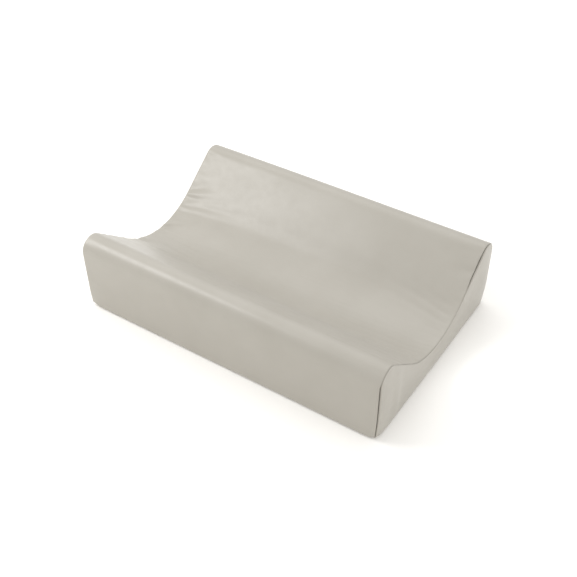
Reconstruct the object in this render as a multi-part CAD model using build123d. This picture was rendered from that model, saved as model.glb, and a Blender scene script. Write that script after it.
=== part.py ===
from build123d import *
import math
import os

# A contoured baby changing pad: one block of foam, cut with a trough along its length, inside a
# sewn cover of wipe-clean coated cloth that is closed by a zip across the back wall.
# Frame: origin at the middle of the underside, +X along the pad, +Y to the back wall, +Z up.
# All lengths are in millimetres.

# ---- driving dimensions of the pad ----
PAD_LENGTH = 710.0
PAD_WIDTH = 480.0
CREST_HEIGHT = 171.0  # top of the two raised long sides
DIP_HEIGHT = 59.0  # lowest line of the trough
CREST_RADIUS = 30.0
SLOPE_DEG = 39.0  # how steeply the trough's sides rise

# ---- cover cloth and its seams ----
CLOTH = 1.0  # coated cloth, one layer
SEAM = 10.0  # seam allowance, folded in
NOTCH = 12.0  # allowances stop this far short of a corner where three panels meet
THREAD = 0.3
FOAM_GAP = 0.1  # between the foam and the cloth or allowance over it
WALL_FOOT = 0.3  # the walls end this far above the surface that the base lies on
OVERCUT = 5.0  # how far a cutting shape runs past the solid that it cuts

# ---- zip in the back wall, a number 5 coil ----
ZIP_HEIGHT = 40.0
ZIP_WINDOW = 11.5  # opening between the two hems
TAPE_WIDTH = 15.0
TAPE_THICKNESS = 0.6
PARTING_GAP = 0.8  # between the two tapes, which the slider's wedge runs along
COIL_INNER = 0.35  # a coil's nearer edge, from the zip's middle line
COIL_WIDTH = 2.6
COIL_THICKNESS = 2.2
ZIP_END = 318.0  # the chain runs from -ZIP_END to +ZIP_END
STOP_LENGTH = 4.0
STOP_CLEAR = 0.3  # between a stop and the slider that has reached it
TAPE_END = PAD_LENGTH / 2 - NOTCH - 0.5
BED_CLEAR = 1.0  # round the tapes, in the foam
TRACK_CLEAR = 1.6  # round the slider, in the foam

# ---- slider and pull ----
SLIDER_LENGTH = 11.5
NOSE_WIDTH = 8.8
TAIL_WIDTH = 7.6
PLATE = 0.9
RUN_CLEAR = 0.25  # all round the coil and tape inside the slider
WEDGE_THICKNESS = 0.4
WEDGE_LENGTH = 4.0
BRIDGE_LENGTH = 7.6
BRIDGE_WIDTH = 1.7
BRIDGE_ROOM = 1.9  # under the bridge, for the pull's pivot bar
BRIDGE_STRAP = 0.8
PIVOT_RADIUS = 0.6
PULL_LENGTH = 25.0
PULL_WIDTH = 5.6
PULL_THICKNESS = 1.1
PULL_WINDOW = 2.7

# ---- topstitching and care label ----
STITCH_INSET = 3.0  # from a hem's edge
STITCH_THICKNESS = 0.4
LABEL_WIDTH = 32.0
LABEL_REACH = 24.0
LABEL_THICKNESS = 0.6  # a ribbon folded double
LABEL_HEIGHT = 100.0  # its middle

SLOPE = math.radians(SLOPE_DEG)
HALF_LENGTH = PAD_LENGTH / 2
HALF_WIDTH = PAD_WIDTH / 2
CREST_Y = HALF_WIDTH - CREST_RADIUS
CREST_Z = CREST_HEIGHT - CREST_RADIUS
SLIDER_X = ZIP_END - SLIDER_LENGTH / 2 - STOP_CLEAR  # middle of the slider with the zip closed


def find_dip_radius():
    """The trough's radius, from the slope that is tangent to a crest and has to end at DIP_HEIGHT."""
    top_y = CREST_Y - CREST_RADIUS * math.sin(SLOPE)
    top_z = CREST_Z + CREST_RADIUS * math.cos(SLOPE)
    rise = DIP_HEIGHT + math.tan(SLOPE) * top_y - top_z
    return rise / (math.tan(SLOPE) * math.sin(SLOPE) + math.cos(SLOPE) - 1)


DIP_RADIUS = find_dip_radius()
DIP_CENTRE_Z = DIP_HEIGHT + DIP_RADIUS


def section(inset, floor):
    """The pad cut across its width: walls, crests and trough moved in by inset, flat at height floor."""
    half = HALF_WIDTH - inset
    crest = CREST_RADIUS - inset
    dip = DIP_RADIUS + inset
    middle = (math.pi / 2 - SLOPE) / 2
    top_y = CREST_Y - crest * math.sin(SLOPE)
    top_z = CREST_Z + crest * math.cos(SLOPE)
    over_y = CREST_Y + crest * math.sin(middle)
    over_z = CREST_Z + crest * math.cos(middle)
    low_y = dip * math.sin(SLOPE)
    low_z = DIP_CENTRE_Z - dip * math.cos(SLOPE)
    outline = Line((half, floor), (half, CREST_Z))
    outline += ThreePointArc((half, CREST_Z), (over_y, over_z), (top_y, top_z))
    outline += Line((top_y, top_z), (low_y, low_z))
    outline += ThreePointArc((low_y, low_z), (0, DIP_CENTRE_Z - dip), (-low_y, low_z))
    outline += Line((-low_y, low_z), (-top_y, top_z))
    outline += ThreePointArc((-top_y, top_z), (-over_y, over_z), (-half, CREST_Z))
    outline += Line((-half, CREST_Z), (-half, floor))
    outline += Line((-half, floor), (half, floor))
    return make_face(outline)


def run(face, start, end):
    """A section carried along the pad from x = start to x = end."""
    return extrude(Plane.YZ.offset(start) * face, end - start)


def block(x, y, z):
    """A box from three (low, high) pairs."""
    size = [high - low for low, high in (x, y, z)]
    middle = [(low + high) / 2 for low, high in (x, y, z)]
    return Pos(*middle) * Box(*size)


def ring(outer, inner, floor, start, end):
    """A band of cloth between two insets of the section, open at its foot."""
    hollow = run(section(inner, floor - OVERCUT), start - OVERCUT, end + OVERCUT)
    return run(section(outer, floor), start, end) - hollow


# ---- foam ----
def make_foam_core():
    """The contour-cut block, dented where seam allowances, zip tape and slider press into it."""
    under_seams = 3 * CLOTH + FOAM_GAP
    skin = CLOTH + FOAM_GAP
    foam = run(section(skin, NOTCH), -(HALF_LENGTH - NOTCH), HALF_LENGTH - NOTCH)
    foam += run(section(under_seams, NOTCH), -(HALF_LENGTH - skin), HALF_LENGTH - skin)
    foot = HALF_LENGTH - under_seams, HALF_WIDTH - under_seams
    foam += block((-foot[0], foot[0]), (-foot[1], foot[1]), (skin, NOTCH))
    tape_bed = HALF_WIDTH - 2 * CLOTH - TAPE_THICKNESS - FOAM_GAP
    slider_bed = tape_bed - PLATE - 2 * RUN_CLEAR
    half_bed = TAPE_WIDTH + BED_CLEAR
    bed = ZIP_HEIGHT - half_bed, ZIP_HEIGHT + half_bed
    foam -= block((-HALF_LENGTH, HALF_LENGTH), (tape_bed, HALF_WIDTH), bed)
    half_track = NOSE_WIDTH / 2 + TRACK_CLEAR
    track = ZIP_HEIGHT - half_track, ZIP_HEIGHT + half_track
    track_end = ZIP_END + STOP_LENGTH
    foam -= block((-track_end, track_end), (slider_bed, HALF_WIDTH), track)
    return foam


# ---- cover ----
def make_cover_wrap():
    """Front wall, trough and back wall in one length of cloth, hemmed above the zip."""
    wrap = ring(0, CLOTH, WALL_FOOT, -HALF_LENGTH, HALF_LENGTH)
    for start in (-HALF_LENGTH, HALF_LENGTH - SEAM):
        wrap += ring(CLOTH, 2 * CLOTH, NOTCH, start, start + SEAM)
    hem_top = ZIP_HEIGHT + ZIP_WINDOW / 2
    below_hem = WALL_FOOT - OVERCUT, hem_top
    past_end = HALF_LENGTH + OVERCUT
    wrap -= block((-past_end, past_end), (HALF_WIDTH - 3 * CLOTH, HALF_WIDTH + OVERCUT), below_hem)
    inner_fold = HALF_LENGTH - NOTCH
    back_fold = HALF_WIDTH - 2 * CLOTH, HALF_WIDTH - CLOTH
    front_fold = -back_fold[1], -back_fold[0]
    wrap += block((-inner_fold, inner_fold), back_fold, (hem_top, hem_top + SEAM))
    wrap += block((-inner_fold, inner_fold), front_fold, (WALL_FOOT, SEAM))
    return wrap


def make_end_panel(side):
    """One U-shaped end. side is -1 or 1, for the end at -X or +X."""
    panel = run(section(2 * CLOTH, WALL_FOOT), HALF_LENGTH - CLOTH, HALF_LENGTH)
    panel += ring(2 * CLOTH, 3 * CLOTH, NOTCH, HALF_LENGTH - CLOTH - SEAM, HALF_LENGTH - CLOTH)
    half_fold = HALF_WIDTH - NOTCH
    fold = HALF_LENGTH - 2 * CLOTH, HALF_LENGTH - CLOTH
    panel += block(fold, (-half_fold, half_fold), (WALL_FOOT, SEAM))
    panel -= make_end_seam_thread(1)
    return panel if side > 0 else mirror(panel, Plane.YZ)


def make_end_seam_thread(side):
    """The thread that sews an end panel's allowance to the wrap's, as one strand."""
    inset = 2 * CLOTH
    middle = HALF_LENGTH - CLOTH - SEAM / 2
    thread = ring(inset, inset + THREAD, NOTCH + 1, middle - THREAD / 2, middle + THREAD / 2)
    return thread if side > 0 else mirror(thread, Plane.YZ)


def base_flanges():
    """(x, y) ranges of the base panel's four turned-up allowances."""
    outer_x, outer_y = HALF_LENGTH - 2 * CLOTH, HALF_WIDTH - 2 * CLOTH
    long_x, long_y = HALF_LENGTH - NOTCH - 2, HALF_WIDTH - NOTCH - 2
    return [
        ((-long_x, long_x), (outer_y - CLOTH, outer_y)),
        ((-long_x, long_x), (-outer_y, CLOTH - outer_y)),
        ((outer_x - CLOTH, outer_x), (-long_y, long_y)),
        ((-outer_x, CLOTH - outer_x), (-long_y, long_y)),
    ]


def make_base_panel():
    half_x, half_y = HALF_LENGTH - 2 * CLOTH, HALF_WIDTH - 2 * CLOTH
    panel = block((-half_x, half_x), (-half_y, half_y), (0, CLOTH))
    for x, y in base_flanges():
        panel += block(x, y, (CLOTH, SEAM))
    return panel - make_base_seam_thread()


def make_base_seam_thread():
    """Four strands, one along each turned-up allowance of the base, in its outer face."""
    half_x, half_y = HALF_LENGTH - 2 * CLOTH, HALF_WIDTH - 2 * CLOTH
    level = SEAM / 2, SEAM / 2 + THREAD
    long_x, long_y = HALF_LENGTH - NOTCH - 4, HALF_WIDTH - NOTCH - 4
    strands = [
        block((-long_x, long_x), (half_y - THREAD, half_y), level),
        block((-long_x, long_x), (-half_y, THREAD - half_y), level),
        block((half_x - THREAD, half_x), (-long_y, long_y), level),
        block((-half_x, THREAD - half_x), (-long_y, long_y), level),
    ]
    return Compound(children=strands)


def make_rear_strip():
    """The low strip of the back wall, between the base and the zip."""
    top = ZIP_HEIGHT - ZIP_WINDOW / 2
    half = HALF_LENGTH
    fold_half = HALF_LENGTH - NOTCH
    fold = HALF_WIDTH - 2 * CLOTH, HALF_WIDTH - CLOTH
    strip = block((-half, half), (HALF_WIDTH - CLOTH, HALF_WIDTH), (WALL_FOOT, top))
    strip += block((-fold_half, fold_half), fold, (top - SEAM, top))
    strip += block((-fold_half, fold_half), fold, (WALL_FOOT, SEAM))
    return strip


# ---- zip ----
TAPE_FACE = HALF_WIDTH - 2 * CLOTH  # the tapes' outer face, which carries the coils
COIL_FACE = TAPE_FACE + COIL_THICKNESS


def zip_band(side, low, high):
    """The heights from low to high away from the zip's middle line, above it or below it."""
    ends = sorted((ZIP_HEIGHT + side * low, ZIP_HEIGHT + side * high))
    return tuple(ends)


def make_zip_tape(side):
    tape = block(
        (-TAPE_END, TAPE_END),
        (TAPE_FACE - TAPE_THICKNESS, TAPE_FACE),
        zip_band(side, PARTING_GAP / 2, TAPE_WIDTH),
    )
    return tape


def make_zip_coil(side):
    """One half of the chain, as the bar that its turns fill."""
    coil = block(
        (-ZIP_END, ZIP_END),
        (TAPE_FACE, COIL_FACE),
        zip_band(side, COIL_INNER, COIL_INNER + COIL_WIDTH),
    )
    return chamfer(coil.edges().filter_by(Axis.X).group_by(Axis.Y)[-1], 0.5)


def make_zip_bottom_stop():
    """One staple across both coils, past the end where the slider stops when the zip is open."""
    start = -ZIP_END - STOP_LENGTH
    reach = COIL_INNER + COIL_WIDTH
    stop = block((start, -ZIP_END), (TAPE_FACE, COIL_FACE), (ZIP_HEIGHT - reach, ZIP_HEIGHT + reach))
    return fillet(stop.edges().group_by(Axis.Y)[-1], 0.6)


def make_zip_top_stops():
    """Two clamps, one on the end of each coil, where the slider stops when the zip is closed."""
    clamps = []
    for side in (-1, 1):
        band = zip_band(side, COIL_INNER, COIL_INNER + COIL_WIDTH)
        clamp = block((ZIP_END, ZIP_END + STOP_LENGTH), (TAPE_FACE, COIL_FACE), band)
        clamps.append(fillet(clamp.edges().group_by(Axis.Y)[-1], 0.6))
    return Compound(children=clamps)


def slider_outline(shrink):
    """The slider seen square on to the back wall: a wide rounded nose towards +X and a narrower tail."""
    nose, tail = NOSE_WIDTH / 2 - shrink, TAIL_WIDTH / 2 - shrink
    half = SLIDER_LENGTH / 2 - shrink
    corners = [(-half, -tail), (half, -nose), (half, nose), (-half, tail)]
    outline = Polyline(*corners, close=True)
    return fillet(make_face(outline).vertices(), 1.8 - shrink)


def back_wall_plane(y):
    """A plane square to +Y at that depth: its x runs along +X, its y along -Z, its normal along +Y."""
    return Plane((SLIDER_X, y, ZIP_HEIGHT), x_dir=(1, 0, 0), z_dir=(0, 1, 0))


SLIDER_OUT = COIL_FACE + RUN_CLEAR + PLATE  # the outer plate's outer face
SLIDER_IN = TAPE_FACE - TAPE_THICKNESS - RUN_CLEAR - PLATE


def make_zip_slider():
    """Two plates round the coils, joined by a wedge at the nose, with a bridge for the pull."""
    body = extrude(back_wall_plane(TAPE_FACE + RUN_CLEAR) * slider_outline(0), SLIDER_OUT - TAPE_FACE - RUN_CLEAR)
    body = fillet(body.edges().group_by(Axis.Y)[-1], 0.5)
    coil_half = COIL_INNER + COIL_WIDTH + RUN_CLEAR
    channel = block(
        (SLIDER_X - SLIDER_LENGTH, SLIDER_X + SLIDER_LENGTH),
        (TAPE_FACE, COIL_FACE + RUN_CLEAR),
        (ZIP_HEIGHT - coil_half, ZIP_HEIGHT + coil_half),
    )
    body -= channel
    body += extrude(back_wall_plane(SLIDER_IN) * slider_outline(0.2), PLATE)
    nose = SLIDER_X + SLIDER_LENGTH / 2 - 1
    wedge = WEDGE_THICKNESS / 2
    between_plates = SLIDER_IN, SLIDER_OUT - PLATE
    body += block((nose - WEDGE_LENGTH, nose), between_plates, (ZIP_HEIGHT - wedge, ZIP_HEIGHT + wedge))
    half = BRIDGE_LENGTH / 2
    width = ZIP_HEIGHT - BRIDGE_WIDTH / 2, ZIP_HEIGHT + BRIDGE_WIDTH / 2
    height = BRIDGE_ROOM + BRIDGE_STRAP
    bridge = block((SLIDER_X - half, SLIDER_X + half), (SLIDER_OUT, SLIDER_OUT + height), width)
    shoulders = bridge.edges().filter_by(Axis.Z).group_by(Axis.Y)[-1]
    bridge = fillet(shoulders, 1.4)
    room = half - BRIDGE_STRAP
    under = block((SLIDER_X - room, SLIDER_X + room), (SLIDER_OUT - 1, SLIDER_OUT + BRIDGE_ROOM), width)
    under = fillet(under.edges().filter_by(Axis.Z).group_by(Axis.Y)[-1], 0.7)
    return body + (bridge - under)


PIVOT_Y = SLIDER_OUT + BRIDGE_ROOM / 2


def make_zip_pull():
    """A flat tab lying along the closed chain, with a window round the bridge and a pivot bar under it."""
    half_width = PULL_WIDTH / 2
    plane = back_wall_plane(PIVOT_Y - PULL_THICKNESS / 2)
    tip_half = half_width - 0.5
    shape = Polyline((0, -half_width), (-PULL_LENGTH, -tip_half), (-PULL_LENGTH, tip_half), (0, half_width), close=True)
    tab = make_face(shape)
    tab = fillet(tab.vertices().group_by(Axis.X)[0], 2.1)
    window_end = BRIDGE_LENGTH / 2 + 1.6
    window = Pos(-window_end / 2, 0) * Rectangle(window_end, PULL_WINDOW)
    eye = Pos(-PULL_LENGTH + 4.2, 0) * Circle(1.3)
    pull = extrude(plane * (tab - window - eye), PULL_THICKNESS)
    pull = fillet(pull.edges().group_by(Axis.X)[0], 0.3)
    bar_plane = Plane((SLIDER_X, PIVOT_Y, ZIP_HEIGHT - half_width), z_dir=(0, 0, 1))
    return pull + extrude(bar_plane * Circle(PIVOT_RADIUS), PULL_WIDTH)


# ---- stitching and label ----
def make_topstitch(side):
    """The row of stitches beside the zip, as the strip that they fill."""
    middle = ZIP_WINDOW / 2 + STITCH_INSET
    end = HALF_LENGTH - NOTCH
    return block(
        (-end, end),
        (HALF_WIDTH, HALF_WIDTH + STITCH_THICKNESS),
        zip_band(side, middle - STITCH_THICKNESS / 2, middle + STITCH_THICKNESS / 2),
    )


def make_care_label():
    """A folded ribbon caught in the corner seam at -X, turned flat on to the back wall."""
    level = LABEL_HEIGHT - LABEL_WIDTH / 2, LABEL_HEIGHT + LABEL_WIDTH / 2
    start = -HALF_LENGTH - LABEL_THICKNESS
    outside = HALF_WIDTH + LABEL_THICKNESS
    label = block((start, -HALF_LENGTH + LABEL_REACH), (HALF_WIDTH, outside), level)
    return label + block((start, -HALF_LENGTH), (HALF_WIDTH - 2 * CLOTH, outside), level)


parts = {
    "foam_core": make_foam_core(),
    "cover_wrap": make_cover_wrap(),
    "end_panel_left": make_end_panel(-1),
    "end_panel_right": make_end_panel(1),
    "base_panel": make_base_panel(),
    "rear_strip": make_rear_strip(),
    "end_seam_thread_left": make_end_seam_thread(-1),
    "end_seam_thread_right": make_end_seam_thread(1),
    "base_seam_thread": make_base_seam_thread(),
    "zip_tape_upper": make_zip_tape(1),
    "zip_tape_lower": make_zip_tape(-1),
    "zip_coil_upper": make_zip_coil(1),
    "zip_coil_lower": make_zip_coil(-1),
    "zip_bottom_stop": make_zip_bottom_stop(),
    "zip_top_stops": make_zip_top_stops(),
    "zip_slider": make_zip_slider(),
    "zip_pull": make_zip_pull(),
    "topstitch_upper": make_topstitch(1),
    "topstitch_lower": make_topstitch(-1),
    "care_label": make_care_label(),
}

os.makedirs("parts", exist_ok=True)
for name, part in parts.items():
    export_step(part, f"parts/{name}.step")
print(f"trough radius {DIP_RADIUS:.1f}, {len(parts)} sub-parts")
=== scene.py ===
# %% [markdown]
# # A contoured changing pad
# The pad is one block of foam, cut with a trough along its length, inside a sewn cover of satin,
# wipe-clean coated cloth. The cover is five panels: a wrap that runs from the front wall over both
# raised sides to the back wall, two U-shaped ends, a base, and a low strip behind, below the zip.
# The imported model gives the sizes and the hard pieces. This script makes the soft ones round it.
# %% Load the frame
import math

import bmesh
import bpy
import numpy as np
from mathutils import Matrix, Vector
from mathutils.geometry import tessellate_polygon


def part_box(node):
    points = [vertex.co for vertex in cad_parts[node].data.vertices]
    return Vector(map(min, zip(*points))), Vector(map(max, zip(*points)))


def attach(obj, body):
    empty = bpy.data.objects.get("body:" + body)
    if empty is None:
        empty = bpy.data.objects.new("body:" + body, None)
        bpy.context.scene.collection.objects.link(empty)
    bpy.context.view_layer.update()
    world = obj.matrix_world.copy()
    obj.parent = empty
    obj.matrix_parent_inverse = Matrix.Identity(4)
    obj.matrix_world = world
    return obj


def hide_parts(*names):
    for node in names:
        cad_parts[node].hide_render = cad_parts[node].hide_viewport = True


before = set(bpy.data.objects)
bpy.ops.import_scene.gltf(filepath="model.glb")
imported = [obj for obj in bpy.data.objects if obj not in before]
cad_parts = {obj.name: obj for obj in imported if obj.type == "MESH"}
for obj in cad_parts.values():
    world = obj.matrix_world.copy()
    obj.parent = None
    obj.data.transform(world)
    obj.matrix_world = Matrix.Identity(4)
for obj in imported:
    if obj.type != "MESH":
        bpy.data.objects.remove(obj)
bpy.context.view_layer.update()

MM = 0.001

# %% [markdown]
# ## Camera, floor and light
# A studio product shot is taken a little from above, with a longish lens. The floor is white and
# the light is broad, so the floor burns out and only a faint contact shadow is left.
# The camera orbits a point on the floor, given by an azimuth, an elevation and a distance.
# %% Camera
CAMERA_AIM = Vector((-0.024, 0.039, 0.0))
CAMERA_AZIMUTH = math.radians(33.3)
CAMERA_ELEVATION = math.radians(40.6)
CAMERA_DISTANCE = 2.075
CAMERA_LENS = 58.2


def orbit(azimuth, elevation):
    """The direction from the aim towards a camera or light; azimuth 0 is in front, at -Y."""
    flat = math.cos(elevation)
    return Vector((math.sin(azimuth) * flat, -math.cos(azimuth) * flat, math.sin(elevation)))


def add_camera():
    camera = bpy.data.objects.new("camera", bpy.data.cameras.new("camera"))
    camera.data.lens = CAMERA_LENS
    camera.data.sensor_width = 36
    back = orbit(CAMERA_AZIMUTH, CAMERA_ELEVATION)
    camera.location = CAMERA_AIM + back * CAMERA_DISTANCE
    camera.rotation_euler = (-back).to_track_quat("-Z", "Y").to_euler()
    bpy.context.scene.collection.objects.link(camera)
    bpy.context.scene.camera = camera


add_camera()
print("camera at", [round(value, 2) for value in bpy.context.scene.camera.location], "m")

# %% [markdown]
# Lights are softboxes on an orbit too. A big one overhead behind gives the raised sides their light
# rim. One in front on the left is mirrored by the far slope and makes its broad soft gloss. A weak
# one stands off the right end and keeps that end from going flat.
# %% Floor, world and lights
FLOOR_DROP = 0.3 * MM
FLOOR_GLOW = 0.06


def add_softbox(name, azimuth, elevation, distance, size, power):
    lamp = bpy.data.lights.new(name, "AREA")
    lamp.shape = "SQUARE"
    lamp.size = size
    lamp.energy = power
    box = bpy.data.objects.new(name, lamp)
    towards = orbit(math.radians(azimuth), math.radians(elevation))
    box.location = towards * distance
    box.rotation_euler = (-towards).to_track_quat("-Z", "Y").to_euler()
    bpy.context.scene.collection.objects.link(box)


def add_world(strength):
    world = bpy.data.worlds.new("studio")
    world.use_nodes = True
    world.node_tree.nodes["Background"].inputs["Color"].default_value = (1, 1, 1, 1)
    world.node_tree.nodes["Background"].inputs["Strength"].default_value = strength
    bpy.context.scene.world = world


def add_floor(half_size):
    """A white floor, a hair under the pad so that floor and base don't share one plane."""
    mesh = bpy.data.meshes.new("studio_floor")
    corners = [(x * half_size, y * half_size, -FLOOR_DROP) for x, y in ((-1, -1), (1, -1), (1, 1), (-1, 1))]
    mesh.from_pydata(corners, [], [(0, 1, 2, 3)])
    floor = bpy.data.objects.new("studio_floor", mesh)
    bpy.context.scene.collection.objects.link(floor)
    paint = bpy.data.materials.new("studio_floor")
    paint.use_nodes = True
    shader = paint.node_tree.nodes["Principled BSDF"]
    shader.inputs["Base Color"].default_value = (0.98, 0.965, 0.935, 1)
    shader.inputs["Roughness"].default_value = 1.0
    shader.inputs["Specular IOR Level"].default_value = 0.0
    shader.inputs["Emission Color"].default_value = (1, 1, 1, 1)
    shader.inputs["Emission Strength"].default_value = FLOOR_GLOW
    mesh.materials.append(paint)


bpy.context.scene.view_settings.view_transform = "Standard"
add_world(0.86)
add_floor(8.0)
add_softbox("overhead_box", -150, 62, 2.4, 2.2, 15)
add_softbox("gloss_box", -60, 48, 2.2, 0.8, 15)
add_softbox("side_box", 85, 22, 2.4, 1.6, 6)
print("softboxes:", [lamp.name for lamp in bpy.data.lights])

# %% [markdown]
# ## The pad's section
# Every soft piece follows one curve, the pad cut across its width. It is a wall, a round crest, a
# straight slope, a wide arc for the trough, and the same again mirrored. Written as a function of
# the distance along the curve, it gives a point and an outward normal wherever a mesh needs one.
# %% Driving sizes
wrap_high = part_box("cover_wrap")[1]
HALF_LENGTH = wrap_high.x
HALF_WIDTH = wrap_high.y
CREST_RADIUS = 30 * MM
SLOPE = math.radians(39)
DIP_HEIGHT = 59 * MM
CREST_Y = HALF_WIDTH - CREST_RADIUS
CREST_Z = wrap_high.z - CREST_RADIUS
CREST_END_Y = CREST_Y - CREST_RADIUS * math.sin(SLOPE)
CREST_END_Z = CREST_Z + CREST_RADIUS * math.cos(SLOPE)
DIP_RADIUS = (DIP_HEIGHT + math.tan(SLOPE) * CREST_END_Y - CREST_END_Z) / (
    math.tan(SLOPE) * math.sin(SLOPE) + math.cos(SLOPE) - 1
)
CREST_ARC = CREST_RADIUS * (math.pi / 2 + SLOPE)
SLOPE_RUN = (CREST_END_Y - DIP_RADIUS * math.sin(SLOPE)) / math.cos(SLOPE)
TOP_ARC = 2 * (CREST_ARC + SLOPE_RUN + DIP_RADIUS * SLOPE)
GIRTH = TOP_ARC + 2 * CREST_Z
print(f"trough radius {DIP_RADIUS / MM:.0f} mm, girth over the top {GIRTH / MM:.0f} mm")


# %% [markdown]
# ## One curve for every panel
# The cutter's wire follows one smooth line through the foam, and the cover is cut to the same line.
# Points could be typed in from a drawing, but arcs and a straight run joined by formula stay smooth
# at any spacing, and give the outward direction that thickness, puckers and lips are laid along.
# %% The section as a function
def section(distance):
    """(y, z) and outward normals at distances round the section, from the foot of the front wall."""
    back_half = distance > GIRTH / 2
    along = np.where(back_half, GIRTH - distance, distance)
    crest = np.clip((along - CREST_Z) / CREST_RADIUS, 0, CREST_ARC / CREST_RADIUS)
    slope = np.clip(along - CREST_Z - CREST_ARC, 0, SLOPE_RUN)
    dip = np.clip((along - CREST_Z - CREST_ARC - SLOPE_RUN) / DIP_RADIUS, 0, SLOPE)
    y = -CREST_Y - CREST_RADIUS * np.cos(crest) + slope * math.cos(SLOPE)
    y += DIP_RADIUS * (np.sin(dip - SLOPE) + math.sin(SLOPE))
    z = np.minimum(along, CREST_Z) + CREST_RADIUS * np.sin(crest) - slope * math.sin(SLOPE)
    z += DIP_RADIUS * (math.cos(SLOPE) - np.cos(dip - SLOPE))
    turn = crest - dip
    side = np.where(back_half, -1.0, 1.0)
    normal = np.stack([-side * np.cos(turn), np.sin(turn)], -1)
    return np.stack([y * side, z], -1), normal


def steps(*stops):
    """Positions through (place, spacing) stops, the spacing growing evenly between each two."""
    places = [stops[0][0]]
    for (start, near), (end, far) in zip(stops, stops[1:]):
        count = max(1, round(2 * (end - start) / (near + far)))
        share = np.linspace(0, 1, count + 1)[1:]
        bend = (far - near) / (far + near)
        places += list(start + (end - start) * (share * (1 - bend) + share**2 * bend))
    return np.array(places)


def both_ends(from_end):
    """Positions along the pad from distances in from one end, the same at the other end."""
    left = np.asarray(from_end) - HALF_LENGTH
    return np.concatenate([left, -left[-2::-1]])


# %% [markdown]
# ## How the cover settles
# A cover is sewn a little loose, then filled by foam that pushes it out. Cloth simulation does the
# same. The wrap and both ends are one welded net of about 4 mm cells, held where a seam or hem is
# sewn, with a little pressure for the foam's push. Along each end seam the cloth is allowed to grow
# by a few percent, which is what gathering does, so it buckles into short puckers.
# The net is only a ruler: each finished panel reads how far the net moved, at any spacing it likes.
# %% The net's grids
CELL = 4 * MM
NET_X = both_ends(steps((0, 3.5 * MM), (60 * MM, 5 * MM), (150 * MM, 14 * MM), (HALF_LENGTH, 18 * MM)))
WALL_CELLS = round(CREST_Z / (1.5 * CELL))
TOP_CELLS = 2 * round(TOP_ARC / CELL / 2)
NET_U = np.concatenate([
    np.linspace(0, CREST_Z, WALL_CELLS + 1)[:-1],
    np.linspace(CREST_Z, CREST_Z + TOP_ARC, TOP_CELLS + 1),
    np.linspace(CREST_Z + TOP_ARC, GIRTH, WALL_CELLS + 1)[1:],
])
print(f"wrap net: {len(NET_U)} rows round the section, {len(NET_X)} columns along the pad")


def wrap_grid(distances, x, inset=0.0):
    """The wrap's face as a grid of points: rows round the section, columns along the pad."""
    line, normal = section(distances)
    grid = np.zeros((len(distances), len(x), 3))
    grid[..., 0] = x
    grid[..., 1:] = (line - inset * normal)[:, None]
    return grid


def end_grid(side, across, up, inset=0.0):
    """An end's face: rows up from the foot (0) to the seam (1), columns across (0 to 1)."""
    top, normal = section(CREST_Z + TOP_ARC * across)
    top = top - inset * normal
    foot = np.stack([(HALF_WIDTH - inset) * (2 * across - 1), np.zeros_like(across)], -1)
    grid = np.zeros((*np.broadcast(across, up).shape, 3))
    grid[..., 0] = side * (HALF_LENGTH - inset)
    grid[..., 1:] = foot + (top - foot) * up[..., None]
    return grid


def grid_quads(rows, columns):
    """The quads of a grid whose points are numbered row by row."""
    ids = np.arange(rows * columns).reshape(rows, columns)
    return np.stack([ids[:-1, :-1], ids[:-1, 1:], ids[1:, 1:], ids[1:, :-1]], -1).reshape(-1, 4)


def weld(grids):
    """One mesh of several grids: its points, its quads, and each grid's point numbers."""
    points = np.concatenate([g.reshape(-1, 3) for g in grids])
    rounded = np.round(points / (MM / 100))
    _, first, number = np.unique(rounded, axis=0, return_index=True, return_inverse=True)
    numbers, quads, start = [], [], 0
    for g in grids:
        ids = number.reshape(-1)[start:start + g.shape[0] * g.shape[1]]
        start += ids.size
        numbers.append(ids.reshape(g.shape[:2]))
        quads.append(ids[grid_quads(*g.shape[:2])])
    return points[first], np.concatenate(quads), numbers


# %% [markdown]
# ## Sewn down or free
# Thread holds a cover at its seams and hems, and everywhere else it slides on the foam. A pin group
# tells the simulation where it is held. A second group says where the cloth was gathered, which is
# mostly at the left end, where the machine fed two curved edges together less evenly.
# %% Where the cloth is held and where it is loose
HEM_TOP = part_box("rear_strip")[1].z
HEM_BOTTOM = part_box("zip_tape_upper")[0].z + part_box("zip_tape_lower")[1].z - HEM_TOP
TOUCH = 0.1 * MM
print(f"hems at {HEM_TOP / MM:.1f} and {HEM_BOTTOM / MM:.1f} mm above the floor")


def held_share(points):
    """1 where the cloth is sewn down: at the end seams, the foot and the two hems beside the zip."""
    near_end = HALF_LENGTH - np.abs(points[:, 0]) < TOUCH
    section_y = np.abs(points[:, 1])
    on_wall = HALF_WIDTH - section_y < TOUCH
    line, _ = section(NET_U)
    top = np.interp(points[:, 1], line[:, 0], line[:, 1])
    at_seam = near_end & (on_wall | (points[:, 2] > top - TOUCH))
    foot = points[:, 2] < TOUCH
    at_zip = (points[:, 1] > HALF_WIDTH - TOUCH) & (points[:, 2] < HEM_BOTTOM + CELL)
    return (at_seam | foot | at_zip).astype(float)


def loose_share(points):
    """How much the cloth is gathered, most at the left end's trough, fading away from the seams."""
    from_left = points[:, 0] + HALF_LENGTH
    from_right = HALF_LENGTH - points[:, 0]
    inside = np.clip((HALF_WIDTH - 25 * MM - np.abs(points[:, 1])) / (40 * MM), 0, 1)
    left = np.exp(-((from_left / (55 * MM)) ** 2)) * (0.25 + 0.75 * inside)
    right = 0.35 * np.exp(-((from_right / (40 * MM)) ** 2))
    return np.clip(left + right, 0, 1)


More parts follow.
